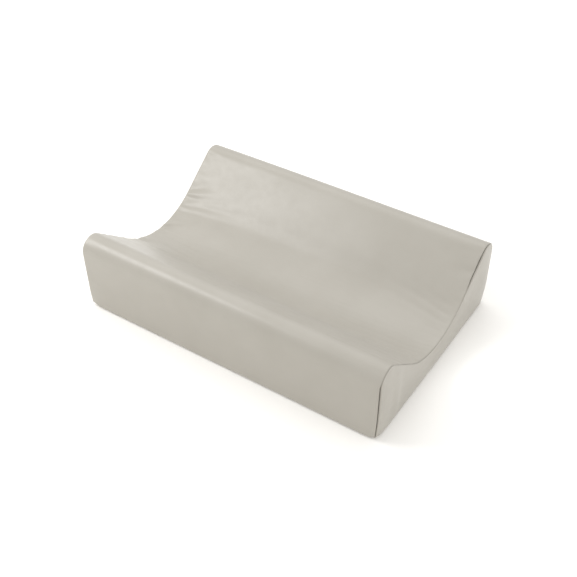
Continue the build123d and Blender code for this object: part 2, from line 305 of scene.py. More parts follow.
# %% [markdown]
# ## Filling the cover
# Pressure stands for the foam's push, and a plain copy of the block stops the cloth from sinking in.
# A tiny seeded unevenness gives the buckles somewhere to start. The foam could be simulated as well,
# but it hardly gives, so that would cost minutes and change nothing one can see.
# %% The simulation
SETTLE_FRAMES = 16
SETTLE_CAP = 7 * MM
GATHER = 0.06
FOAM_INSET = 1.6 * MM
JITTER = 0.05 * MM
FOAM_PUSH = 0.12
CLOTH_REACH = 0.6 * MM
STOP_PLACES = 90


def add_foam_stop():
    """A plain copy of the foam that the cloth can't pass into."""
    u = np.concatenate([[0], np.linspace(CREST_Z, CREST_Z + TOP_ARC, STOP_PLACES), [GIRTH]])
    x = np.linspace(-HALF_LENGTH, HALF_LENGTH, 40) * (1 - FOAM_INSET / HALF_LENGTH)
    across, up = np.meshgrid(np.linspace(0, 1, STOP_PLACES), np.array([0.0, 1.0]))
    grids = [wrap_grid(u, x, FOAM_INSET), end_grid(-1, across, up, FOAM_INSET)[:, ::-1]]
    grids.append(end_grid(1, across, up, FOAM_INSET))
    points, quads, _ = weld(grids)
    mesh = bpy.data.meshes.new("foam_stop")
    mesh.from_pydata(points, [], quads.tolist())
    stop = bpy.data.objects.new("foam_stop", mesh)
    bpy.context.scene.collection.objects.link(stop)
    stop.modifiers.new("collision", "COLLISION")
    stop.collision.thickness_outer = CLOTH_REACH
    stop.collision.cloth_friction = 8
    return stop


def settle(points, quads):
    """How far each point of the net moves when the cover is filled."""
    held = held_share(points)
    jitter = np.random.default_rng(5).normal(0, JITTER, points.shape) * (1 - held[:, None])
    mesh = bpy.data.meshes.new("cover_net")
    mesh.from_pydata(points + jitter, [], quads.tolist())
    net = bpy.data.objects.new("cover_net", mesh)
    bpy.context.scene.collection.objects.link(net)
    for name, shares in (("held", held), ("loose", loose_share(points))):
        group = net.vertex_groups.new(name=name)
        for level in np.unique(np.round(shares, 2)):
            chosen = np.flatnonzero(np.round(shares, 2) == level)
            if level > 0:
                group.add(chosen.tolist(), float(level), "REPLACE")
    cloth = net.modifiers.new("cloth", "CLOTH")
    setting = cloth.settings
    setting.quality = 5
    setting.mass = 0.2
    setting.tension_stiffness = setting.compression_stiffness = 25
    setting.shear_stiffness = 12
    setting.bending_stiffness = 1.2
    setting.use_pressure = True
    setting.uniform_pressure_force = FOAM_PUSH
    setting.vertex_group_mass = "held"
    setting.vertex_group_shrink = "loose"
    setting.shrink_max = -GATHER
    setting.effector_weights.gravity = 0
    cloth.collision_settings.distance_min = CLOTH_REACH
    stop = add_foam_stop()
    cloth.point_cache.frame_end = SETTLE_FRAMES
    scene = bpy.context.scene
    for frame_number in range(1, SETTLE_FRAMES + 1):
        scene.frame_set(frame_number)
    settled = net.evaluated_get(bpy.context.evaluated_depsgraph_get()).data
    moved = np.zeros(len(points) * 3, np.float32)
    settled.vertices.foreach_get("co", moved)
    moved = moved.reshape(-1, 3) - points
    bpy.data.objects.remove(net)
    bpy.data.objects.remove(stop)
    scene.frame_set(1)
    length = np.linalg.norm(moved, axis=1, keepdims=True)
    return moved * SETTLE_CAP / (SETTLE_CAP + length)


net_grids = [wrap_grid(NET_U, NET_X)]
net_across, net_up = np.meshgrid(np.linspace(0, 1, TOP_CELLS + 1), np.linspace(0, 1, WALL_CELLS + 1))
net_grids += [end_grid(side, net_across, net_up) for side in (-1, 1)]
net_points, net_quads, net_numbers = weld(net_grids)
net_moves = settle(net_points, net_quads)
wrap_moves, left_moves, right_moves = (net_moves[numbers] for numbers in net_numbers)
print(f"net of {len(net_points)} points, moved up to {np.abs(net_moves).max() / MM:.1f} mm")

# %% [markdown]
# ## Reading the net
# Catmull-Rom weights give a smooth value between the net's points, so a panel's own mesh can be
# fine at its seams and coarse elsewhere without showing the net's cells in its shading.
# %% Smooth samples of a grid
def spline_weights(share):
    """The four Catmull-Rom weights at a share of the way between the two middle points."""
    before = ((2 - share) * share - 1) * share
    near = (3 * share - 5) * share**2 + 2
    far = ((4 - 3 * share) * share + 1) * share
    after = (share - 1) * share**2
    return np.stack([before, near, far, after], -1) / 2


def sample(grid, row, column):
    """The grid's value at fractional rows and columns."""
    rows, columns = grid.shape[:2]
    top = np.clip(np.floor(row).astype(int), 0, rows - 2)
    left = np.clip(np.floor(column).astype(int), 0, columns - 2)
    down, across = spline_weights(row - top), spline_weights(column - left)
    value = 0
    for i in range(4):
        for j in range(4):
            share = (down[..., i] * across[..., j])[..., None]
            row_there = np.clip(top + i - 1, 0, rows - 1)
            column_there = np.clip(left + j - 1, 0, columns - 1)
            value = value + share * grid[row_there, column_there]
    return value


def net_place(values, net_values):
    """Fractional places of values in a list of the net's."""
    return np.interp(values, net_values, np.arange(len(net_values)))


# %% [markdown]
# ## A turned seam
# Two panels are sewn face to face and turned right side out, so each one's edge rolls over and dives
# into the seam. Seen across, each edge is an arc of 135 degrees that then runs down the middle
# between the two. Where the seam is strained the lips stand apart and the line looks dark; where the
# cloth lies flat they touch and the line nearly vanishes.
# %% The rolled edge
BAND = 9 * MM
BAND_ROWS = 18
SLIT_DEPTH = (0.9 * MM, 3.6 * MM)
FULL_TURN = math.radians(135)
ROLL_REACH = 1 + math.sqrt(2)
LIP_RADIUS = (0.55 * MM, 2.2 * MM)
LIP_GAP = 1.4 * MM


def lip(distance, strain):
    """Where cloth at a distance from a sharp edge lies once the edge is turned in.

    Gives (along, off): along the face towards the edge, and off the face, both from the sharp edge.
    """
    radius = LIP_RADIUS[0] + (LIP_RADIUS[1] - LIP_RADIUS[0]) * strain
    gap = LIP_GAP * np.clip((strain - 0.3) / 0.7, 0, 1)
    flat = BAND - ROLL_REACH * radius - gap / math.sqrt(2)
    arc = radius * FULL_TURN
    slit = SLIT_DEPTH[0] + (SLIT_DEPTH[1] - SLIT_DEPTH[0]) * strain
    run = (1 - np.clip(distance / BAND, 0, 1)) * (flat + arc + slit)
    turn = np.clip((run - flat) / radius, 0, FULL_TURN)
    dive = np.clip((run - flat - arc) / slit, 0, 1)
    depth, closing = slit * dive / math.sqrt(2), gap * dive**2 / math.sqrt(8)
    along = np.minimum(run, flat) - BAND + radius * np.sin(turn) - depth + closing
    off = radius * (np.cos(turn) - 1) - depth - closing
    return np.where(distance < BAND, along, -distance), off


edge_depths = [-float(lip(0.0, strain)[1]) for strain in (0, 1)]
print("edge depth in mm, slack and strained:", [round(depth / MM, 1) for depth in edge_depths])

# %% [markdown]
# ## Tight and slack stretches of a seam
# Foam pulls hardest on a seam where the panel turns a corner, and there the lips stand apart. A few
# given strengths, each at a distance in millimetres from the front foot, are joined by straight
# ramps. The right end is tight at its front corner and near the far crest, and slack in the trough.
# %% How strained each end's seam is, round the section
STRAIN_RIGHT = (
    (0, 0.85), (140, 0.95), (154, 0.3), (185, 0.2), (225, 0.3), (260, 0.35), (330, 0.35), (400, 0.25),
    (430, 0.0), (520, 0.0), (570, 0.3), (595, 0.9), (640, 1.0), (664, 0.7), (690, 0.3), (740, 0.3),
    (864, 0.5),
)
STRAIN_LEFT = (
    (0, 0.3), (60, 0.6), (141, 0.3), (180, 0.4), (300, 0.4), (420, 0.75), (500, 0.6), (560, 0.8), (640, 0.85),
    (690, 0.7), (760, 0.3), (864, 0.6),
)


def by_end(distance, side, left_keys, right_keys):
    """Values at distances round the section, ramped between an end's own (millimetres, value) keys."""
    left, right = (np.interp(distance, *(np.array(keys).T * [[MM], [1]])) for keys in (left_keys, right_keys))
    return np.where(side > 0, right, left)


def seam_strain(distance, side):
    """Strain at distances round the section, for the end at side -1 or 1."""
    return by_end(distance, side, STRAIN_LEFT, STRAIN_RIGHT)


print("strain in the trough, left and right:", [float(seam_strain(GIRTH / 2, side)) for side in (-1, 1)])

# %% [markdown]
# ## Puckers and tucks
# Thread draws a long edge shorter, so smooth cloth stands in short ripples square to the seam, and
# takes a larger tuck here and there. A sum of seeded waves that fade away from the seam makes the
# ripples, and each tuck is a dent with a soft shoulder that widens as it fades.
# %% Puckers beside the seams
PUCKER_HEIGHT = 0.8 * MM
PUCKER_WAVES = ((9, 0.06), (14, 0.12), (23, 0.7), (37, 1.0))
PUCKER_LEFT = (
    (0, 0.1), (141, 0.15), (220, 0.5), (300, 0.6), (470, 0.6), (550, 0.45), (640, 0.4), (680, 0.3),
    (720, 0.2), (864, 0.2),
)
PUCKER_RIGHT = (
    (0, 0.1), (141, 0.15), (220, 0.2), (420, 0.15), (580, 0.3), (660, 0.35), (720, 0.2), (864, 0.2),
)
TUCKS = (
    (-1, 434, 3.2, 4, 44, 0.5), (-1, 500, 1.4, 5, 30, -0.2), (-1, 543, -2.2, 5, 60, 0.25),
    (-1, 563, 1.2, 9, 44, 0.2), (-1, 604, 0.5, 9, 40, 0.3), (-1, 650, 1.5, 9, 60, -0.5),
    (-1, 350, 1.6, 6, 34, 0.2), (1, 250, 1.0, 6, 30, 0.3), (1, 566, 1.0, 7, 40, 0.4),
    (1, 612, 1.2, 8, 48, -0.3), (1, 655, 1.0, 7, 34, 0.3),
)


def tucks(distance, from_seam, side):
    """Dents where the seam took a single larger tuck: end, place, depth, width, reach and lean of each."""
    dent = 0
    for end, place, depth, width, reach, lean in TUCKS:
        apart = distance - place * MM - lean * from_seam
        wide = width * MM + 0.16 * from_seam
        fold = np.exp(-((apart / wide) ** 2)) - 0.55 * np.exp(-(((apart - 1.7 * wide) / wide) ** 2))
        dent = dent - (side == end) * depth * MM * fold * np.exp(-((from_seam / (reach * MM)) ** 2))
    return dent


def pucker(distance, from_seam, side):
    """Height of the short ripples that gathered cloth makes square to a seam."""
    amount = by_end(distance, side, PUCKER_LEFT, PUCKER_RIGHT)
    phases = np.random.default_rng(11).uniform(0, 2 * math.pi, (len(PUCKER_WAVES), 2))
    ripple = 0
    for (wave, share), phase in zip(PUCKER_WAVES, phases):
        lean = 0.25 * from_seam * math.cos(phase[1])
        fade = np.exp(-from_seam / (1.3 * wave * MM))
        ripple = ripple + share * fade * np.sin(2 * math.pi * (distance + lean) / (wave * MM) + phase[0])
    return amount * ripple * PUCKER_HEIGHT + tucks(distance, from_seam, side)


print(len(TUCKS), "tucks by hand, and ripples of", [wave for wave, _ in PUCKER_WAVES], "mm")

# %% [markdown]
# ## The foot of the cover
# Foam is soft at its edges, so the cover rounds them off: below a few millimetres each wall curls
# in to the base's seam, and the corners, where three panels and their allowances meet, ride up.
# %% Rounding the foot
TUCK = 7 * MM
TUCK_TURN = math.radians(58)
CORNER_LIFT = 3.5 * MM
CORNER_REACH = 16 * MM


def lift_corners(points):
    """Raises the four bottom corners a little."""
    away = np.hypot(HALF_LENGTH - np.abs(points[..., 0]), HALF_WIDTH - np.abs(points[..., 1]))
    fade = np.exp(-((away / CORNER_REACH) ** 2)) * np.exp(-((points[..., 2] / (2 * CORNER_REACH)) ** 2))
    points[..., 2] += CORNER_LIFT * fade
    points[..., :2] *= (1 - fade * CORNER_LIFT / 2 / HALF_WIDTH)[..., None]
    return points


def tuck_wall(points):
    """Curls in the lowest part of a wall."""
    turn = np.clip(1 - points[..., 2] / TUCK, 0, 1) * TUCK_TURN
    inward = TUCK * (1 - np.cos(turn))
    points[..., 0] *= 1 - inward / HALF_LENGTH
    points[..., 1] *= 1 - inward / HALF_WIDTH
    points[..., 2] = np.where(turn > 0, TUCK * (1 - np.sin(turn)), points[..., 2])
    return lift_corners(points)


def tuck_base(points):
    """Curls up the rim of the base to meet the walls."""
    for axis, half in ((0, HALF_LENGTH), (1, HALF_WIDTH)):
        inside = half - np.abs(points[..., axis])
        turn = math.pi / 2 - np.clip(1 - inside / TUCK, 0, 1) * (math.pi / 2 - TUCK_TURN)
        reach = np.where(inside < TUCK, TUCK * (1 - np.cos(turn)), inside)
        points[..., 2] = np.maximum(points[..., 2], TUCK * (1 - np.sin(turn)))
        points[..., axis] = np.sign(points[..., axis]) * (half - reach)
    return lift_corners(points)


# %% [markdown]
# ## Meshes from grids
# Each panel is a grid of quads. Solidify gives it the cloth's thickness on the inside, and the
# result is made a plain mesh so that nothing is left to compute later.
# %% Helpers for pieces
CLOTH = 0.94 * MM


def new_piece(name, points, quads):
    mesh = bpy.data.meshes.new(name)
    mesh.from_pydata(np.asarray(points).tolist(), [], np.asarray(quads).tolist())
    mesh.polygons.foreach_set("use_smooth", [True] * len(mesh.polygons))
    mesh.update()
    piece = bpy.data.objects.new(name, mesh)
    bpy.context.scene.collection.objects.link(piece)
    return piece


def make_plain(piece):
    """Replaces a piece's mesh by what its modifiers make of it."""
    result = piece.evaluated_get(bpy.context.evaluated_depsgraph_get())
    made = bpy.data.meshes.new_from_object(result)
    piece.modifiers.clear()
    old, piece.data = piece.data, made
    bpy.data.meshes.remove(old)
    made.name = piece.name
    return piece


def thicken(piece, thickness=CLOTH):
    solid = piece.modifiers.new("cloth thickness", "SOLIDIFY")
    solid.thickness = thickness
    solid.offset = -1
    return make_plain(piece)


# %% [markdown]
# ## The wrap
# The wrap is cut as one length, about 0.73 by 0.84 m, so the raised sides have no seam across them,
# where a wet cloth wipes most. Behind, it stops above the zip in a hem: the raw edge is turned in by
# a centimetre over the zip tape and topstitched, which leaves a doubled, slightly rounded lip.
# %% Hems
HEM_RADIUS = 1.0 * MM
HEM_TURN_IN = 10 * MM
HEM_SHORT = 5 * MM
HEM_FOLD_ROWS = 8
TOPSTITCH_FROM_HEM = 3 * MM
GROOVE = 0.35 * MM
CREASE_INSET = 3.3 * MM
CREASE_DEPTH = 0.9 * MM


def hem_path():
    """(y, z) of a hem's turned-in part, from its wall, with z measured from the hem's line."""
    turn = np.linspace(0, math.pi, HEM_FOLD_ROWS + 1)[1:]
    y = HALF_WIDTH - HEM_RADIUS * (1 - np.cos(turn))
    z = HEM_RADIUS * (1 - np.sin(turn))
    climb = np.linspace(0, HEM_TURN_IN, 6)[1:]
    return np.append(y, np.full(5, y[-1])), np.append(z, z[-1] + climb)


def add_hem(face, upwards):
    """The face with its hem, whose turned-in part lies flat and stops short of the rolled edges."""
    hem_y, hem_z = hem_path()
    flat = np.minimum(np.arange(1, len(hem_y) + 1) / HEM_FOLD_ROWS, 1)[:, None]
    from_seam = HALF_LENGTH - np.abs(PANEL_X)
    flat_x = PANEL_X - np.sign(PANEL_X) * HEM_SHORT * np.clip(1 - from_seam / (6 * HEM_SHORT), 0, 1)
    flat_y = np.maximum(face[-1, :, 1], HALF_WIDTH - GROOVE)
    hem = np.repeat(face[-1:], len(hem_y), 0)
    hem[..., 0] += (flat_x - hem[..., 0]) * flat
    hem[..., 1] += (flat_y - hem[..., 1]) * flat + (hem_y - HALF_WIDTH)[:, None]
    hem[..., 2] += upwards * (hem_z - HEM_RADIUS)[:, None]
    return np.concatenate([face, hem])


def topstitch_groove(points, height):
    """Pulls the cloth of the back wall in along its row of topstitches."""
    fade = np.exp(-(((points[..., 2] - height) / (1.1 * MM)) ** 2))
    points[..., 1] -= GROOVE * fade * (points[..., 1] > HALF_WIDTH - 2.5 * MM)
    return points


def foot_crease(points):
    """Draws the last millimetres of a panel into the seam round the base."""
    inside = np.minimum(HALF_LENGTH - np.abs(points[..., 0]), HALF_WIDTH - np.abs(points[..., 1]))
    near = ((inside - CREASE_INSET) / (1.6 * MM)) ** 2 + (points[..., 2] / (2.6 * MM)) ** 2
    fade = CREASE_DEPTH * np.exp(-near)
    points[..., 0] *= 1 - fade / HALF_LENGTH
    points[..., 1] *= 1 - fade / HALF_WIDTH
    points[..., 2] += fade
    return points


print(f"hem of {HEM_TURN_IN / MM:.0f} mm, stitched {TOPSTITCH_FROM_HEM / MM:.0f} mm from its fold")

# %% [markdown]
# ## Fine where it is sewn
# The panel's mesh needs half a millimetre where its edge rolls and a centimetre in the middle. Rows
# follow the section and columns follow the length, spaced to suit. A remesh would lose the lips, so
# the grid is laid out here and takes the settled moves, the ripples and the lips in one go.
# %% The wrap's own grid
PANEL_X = both_ends(np.append(
    np.linspace(0, BAND, BAND_ROWS + 1)[:-1],
    steps((BAND, 0.9 * MM), (60 * MM, 3.4 * MM), (150 * MM, 9 * MM), (HALF_LENGTH, 10 * MM)),
))
FOOT_ROWS = steps((0, 0.8 * MM), (4 * MM, 0.9 * MM), (12 * MM, 2.5 * MM), (CREST_Z, 7 * MM))
TOP_ROWS = np.linspace(CREST_Z, CREST_Z + TOP_ARC, 181)
WRAP_HEM = GIRTH - HEM_BOTTOM - HEM_RADIUS
HEM_ROWS = steps((CREST_Z + TOP_ARC, 5 * MM), (WRAP_HEM - 8 * MM, 1.2 * MM), (WRAP_HEM, 0.7 * MM))
CREST_SAG = -2.6 * MM
CREST_RISE = 1.2 * MM


def crest_lean(points):
    """The far raised side isn't quite level: a little low at the left end, a little high at the right."""
    along = np.clip(points[..., 0] / HALF_LENGTH, -1, 1)
    far = np.clip((points[..., 1] - 90 * MM) / (110 * MM), 0, 1)
    tall = np.clip(points[..., 2] / wrap_high.z, 0, 1) ** 2
    points[..., 2] += np.where(along < 0, CREST_SAG, CREST_RISE) * along**2 * far * tall
    return points


def wrap_surface(distances, x):
    """The wrap's outer face at distances round the section and places along the pad."""
    line, normal = section(distances)
    from_seam = HALF_LENGTH - np.abs(x)
    side = np.sign(x)
    along, off = lip(from_seam[None], seam_strain(distances[:, None], side))
    held_down = 0.4 + 0.6 * np.clip(from_seam / (7 * MM), 0, 1)
    ripple = pucker(distances[:, None], from_seam[None], side) * held_down
    points = np.zeros((len(distances), len(x), 3))
    points[..., 0] = side * (HALF_LENGTH + along)
    points[..., 1:] = line[:, None] + normal[:, None] * (off + ripple)[..., None]
    rows, columns = np.meshgrid(net_place(distances, NET_U), net_place(x, NET_X), indexing="ij")
    return points + sample(wrap_moves, rows, columns)


def add_wrap():
    distances = np.concatenate([FOOT_ROWS[:-1], TOP_ROWS[:-1], HEM_ROWS])
    face = crest_lean(foot_crease(tuck_wall(wrap_surface(distances, PANEL_X))))
    topstitch_groove(face, HEM_BOTTOM + TOPSTITCH_FROM_HEM)
    points = add_hem(face, 1)
    quads = grid_quads(*points.shape[:2])
    return thicken(new_piece("cover_wrap_cloth", points.reshape(-1, 3), quads))


wrap = add_wrap()
print("wrap quads:", len(wrap.data.polygons))

# %% [markdown]
# ## The low strip behind
# The strip closes the back wall below the zip, from the base to a hem of its own that faces the
# wrap's. Between the two hems lie the coil and a little of the tape.
# %% Rear strip
def add_rear_strip():
    top = HEM_TOP - HEM_RADIUS
    foot = (0, 0.8 * MM), (4 * MM, 0.9 * MM), (12 * MM, 2 * MM)
    heights = steps(*foot, (top - 6 * MM, 1.2 * MM), (top, 0.7 * MM))
    face = wrap_surface(GIRTH - heights, PANEL_X)
    face = topstitch_groove(foot_crease(tuck_wall(face)), HEM_TOP - TOPSTITCH_FROM_HEM)
    points = add_hem(face, -1)
    quads = grid_quads(*points.shape[:2])[:, ::-1]
    return thicken(new_piece("rear_strip_cloth", points.reshape(-1, 3), quads))


strip = add_rear_strip()
print("strip quads:", len(strip.data.polygons))

# %% [markdown]
# ## The ends
# Each end is a U-shaped panel. Its outer ring follows the seam and carries the turned edge, and a
# plain grid fills the middle. The foam pushes the middle out a little, and the cut edge of the foam
# block shows through as a soft upright ridge behind the front corner.
# %% End panels
END_BULGE = 2.2 * MM
RIDGE = 2.0 * MM
RIDGE_Y = -HALF_WIDTH + 68 * MM
RIDGE_WIDTH = 14 * MM


def spread(places, net_places, moves, reach=6 * MM):
    """Moves at scattered (y, z) places, as a smooth average of the net's moves round each."""
    result = np.zeros((len(places), 3))
    for start in range(0, len(places), 500):
        part = places[start:start + 500]
        apart = ((part[:, None] - net_places[None]) ** 2).sum(-1)
        weight = np.exp(-apart / (2 * reach**2)) + 1e-12
        result[start:start + 500] = weight @ moves / weight.sum(1, keepdims=True)
    return result


def end_swell(points, depth):
    """How far the end's middle stands out, at depths from the seam."""
    y, z = points[..., 1], points[..., 2]
    belly = np.cos(math.pi * y / (2 * HALF_WIDTH)) ** 2
    belly = belly * np.sin(math.pi * np.clip(z / (0.9 * DIP_HEIGHT), 0, 1))
    shoulder = np.exp(-(((np.abs(y) - CREST_Y) / (34 * MM)) ** 2))
    shoulder = shoulder * np.sin(math.pi * np.clip(z / wrap_high.z, 0, 1))
    ridge = np.exp(-(((y - RIDGE_Y) / RIDGE_WIDTH) ** 2)) * np.clip(z / (30 * MM), 0, 1)
    inside = np.clip(depth / (22 * MM), 0, 1)
    return (END_BULGE * (0.7 * belly + 0.8 * shoulder) + RIDGE * ridge) * inside**2 * (3 - 2 * inside)


def add_end(side, name, net_moves_here):
    """One end panel at side -1 or 1."""
    seam_rows = np.concatenate([FOOT_ROWS[:-1], TOP_ROWS[:-1], GIRTH - FOOT_ROWS[::-1]])
    line, normal = section(seam_rows)
    depth = np.linspace(0, BAND, BAND_ROWS + 1)
    along, off = lip(depth[None], seam_strain(seam_rows[:, None], side))
    ripple = pucker(seam_rows, np.zeros_like(seam_rows), side)[:, None] * 0.4 * (1 - depth / BAND) ** 2
    band = np.zeros((len(seam_rows), len(depth), 3))
    band[..., 0] = side * (HALF_LENGTH + off)
    band[..., 1:] = line[:, None] + normal[:, None] * (along + ripple)[..., None]
    flat_band = np.zeros_like(band)
    flat_band[..., 1:] = line[:, None] - normal[:, None] * depth[None, :, None]
    wall = len(FOOT_ROWS)
    walls, top = band[:wall, -1], band[wall - 1:len(band) - wall + 1, -1]
    across = (top[:, 1] - top[0, 1]) / (top[-1, 1] - top[0, 1])
    up = FOOT_ROWS / CREST_Z
    foot = np.zeros((len(across), 3))
    foot[:, 0] = band[0, -1, 0]
    foot[:, 1] = top[0, 1] + (top[-1, 1] - top[0, 1]) * across
    block = foot[None] + (top - foot)[None] * up[:, None, None]
    block[:, 0] = walls
    block[:, -1] = band[len(band) - wall:, -1][::-1]
    block[-1] = top
    depths = [np.repeat(depth[None], len(band), 0), BAND + rim_distance(block, band[:, -1])]
    grids = [band, block]
    for grid, far, flat in zip(grids, depths, (flat_band, block)):
        places = flat.reshape(-1, 3)[:, 1:]
        inside = np.clip(far / BAND, 0, 1)[..., None] ** 2
        moves = spread(places, net_yz, net_moves_here.reshape(-1, 3)).reshape(grid.shape)
        swell = side * end_swell(flat, far)
        grid += moves * inside
        grid[..., 0] += swell
    points, quads, _ = weld([crest_lean(foot_crease(tuck_wall(grid))) for grid in grids])
    piece = new_piece(name, points, quads)
    face_out(piece, side)
    return thicken(piece)


def rim_distance(block, rim):
    """Distance of each of the middle grid's points from its rim."""
    apart = block[:, :, None, 1:] - rim[None, None, :, 1:]
    return np.sqrt((apart**2).sum(-1).min(-1))


def face_out(piece, side):
    """Turns an end's faces outwards, and all the same way."""
    shape = bmesh.new()
    shape.from_mesh(piece.data)
    bmesh.ops.recalc_face_normals(shape, faces=shape.faces)
    if sum(face.normal.x * face.calc_area() for face in shape.faces) * side < 0:
        bmesh.ops.reverse_faces(shape, faces=shape.faces)
    shape.to_mesh(piece.data)
    shape.free()
    piece.data.polygons.foreach_set("use_smooth", [True] * len(piece.data.polygons))


net_yz = net_grids[1].reshape(-1, 3)[:, 1:]
left_end = add_end(-1, "end_panel_left_cloth", left_moves)
right_end = add_end(1, "end_panel_right_cloth", right_moves)
print("end quads:", len(left_end.data.polygons), len(right_end.data.polygons))

# %% [markdown]
# ## The base
# The base is a plain rectangle whose rim turns up to meet the walls. Its corners are rounded, since
# no sewing machine turns a square corner through four layers.
# %% Base
BASE_CORNER = 8 * MM


def add_base():
    rim = steps((0, 0.8 * MM), (4 * MM, 0.9 * MM), (9 * MM, 1.5 * MM), (60 * MM, 12 * MM))
    places = []
    for half in (HALF_LENGTH, HALF_WIDTH):
        from_rim = np.append(rim[:-1], steps((60 * MM, 12 * MM), (half, 16 * MM)))
        places.append(np.concatenate([from_rim - half, (half - from_rim)[-2::-1]]))
    x, y = places
    points = np.zeros((len(x), len(y), 3))
    points[..., 0], points[..., 1] = x[:, None], y
    points = foot_crease(tuck_base(points))
    half = np.array([HALF_LENGTH, HALF_WIDTH])
    reach = BASE_CORNER - (half - np.abs(points[..., :2]))
    corner = (reach > 0).all(-1)
    scale = np.where(corner, reach.max(-1) / np.maximum(np.hypot(*np.moveaxis(reach, -1, 0)), 1e-9), 1)
    rounded = np.sign(points[..., :2]) * (half - BASE_CORNER + reach * scale[..., None])
    points[..., :2] = np.where(corner[..., None], rounded, points[..., :2])
    return thicken(new_piece("base_cloth", points.reshape(-1, 3), grid_quads(*points.shape[:2])))


base = add_base()
print("base quads:", len(base.data.polygons))

# %% [markdown]
# ## The foam
# The block is polyurethane foam, sawn to the section on a contour cutter. It fills the cover, and
# its own edges are eased so that the cover's seam allowances have room.
# %% Foam block
FOAM_EDGE = 12 * MM
BLOCK_INSET = 3.4 * MM
FOAM_SLACK = 5 * MM


def add_foam():
    turn = np.linspace(0, math.pi / 2, 7)
    rounding = np.stack([FOAM_EDGE * (1 - np.sin(turn)), FOAM_EDGE * (1 - np.cos(turn))], -1)[::-1]
    x_left = BLOCK_INSET + rounding[:, 0] - HALF_LENGTH
    insets = BLOCK_INSET + rounding[:, 1]
    middle = np.linspace(x_left[-1], -x_left[-1], 30)[1:-1]
    x = np.concatenate([x_left, middle, -x_left[::-1]])
    insets = np.concatenate([insets, np.full(len(middle), BLOCK_INSET), insets[::-1]])
    insets += FOAM_SLACK * np.exp(-(((HALF_LENGTH - np.abs(x)) / (45 * MM)) ** 2))
    wall = steps((0, 2 * MM), (12 * MM, 3 * MM), (CREST_Z, 12 * MM))
    u = np.concatenate([wall[:-1], TOP_ROWS[::2], GIRTH - wall[-2::-1]])
    line, normal = section(u)
    points = np.zeros((len(u), len(x), 3))
    points[..., 0] = x
    points[..., 1:] = line[:, None] - normal[:, None] * insets[None, :, None]
    points = crest_lean(tuck_wall(points))
    points[..., 2] = np.maximum(points[..., 2], BLOCK_INSET)
    rows, columns = points.shape[:2]
    ids = np.arange(rows * columns).reshape(rows, columns)
    points = points.reshape(-1, 3)
    piece = new_piece("foam_block", points, grid_quads(rows, columns)[:, ::-1])
    shape = bmesh.new()
    shape.from_mesh(piece.data)
    shape.verts.ensure_lookup_table()
    for loop in (ids[:, 0], ids[:, -1]):
        outline = [Vector((*points[v, 1:], 0)) for v in loop]
        for corners in tessellate_polygon([outline]):
            shape.faces.new([shape.verts[int(loop[c])] for c in corners])
    for j in range(columns - 1):
        corners = [ids[0, j], ids[0, j + 1], ids[-1, j + 1], ids[-1, j]]
        shape.faces.new([shape.verts[int(v)] for v in corners])
    bmesh.ops.recalc_face_normals(shape, faces=shape.faces)
    shape.to_mesh(piece.data)
    shape.free()
    return piece


foam = add_foam()
print("foam quads:", len(foam.data.polygons))

# %% [markdown]
# ## Stitches and coil teeth
# Anything that repeats is made by a small Geometry Nodes tree: a line is cut to the pitch, one thing
# stands on every point, and a seeded tilt keeps the row from looking stamped. The tree's result is
# then made a plain mesh.
# %% Helpers for trees
def add_socket(tree, name, kind, value):
    socket = tree.interface.new_socket(name, in_out="INPUT", socket_type=kind)
    if value is not None:
        socket.default_value = value


def add_node(tree, kind, **settings):
    node = tree.nodes.new(kind)
    for name, value in settings.items():
        setattr(node, name, value)
    return node


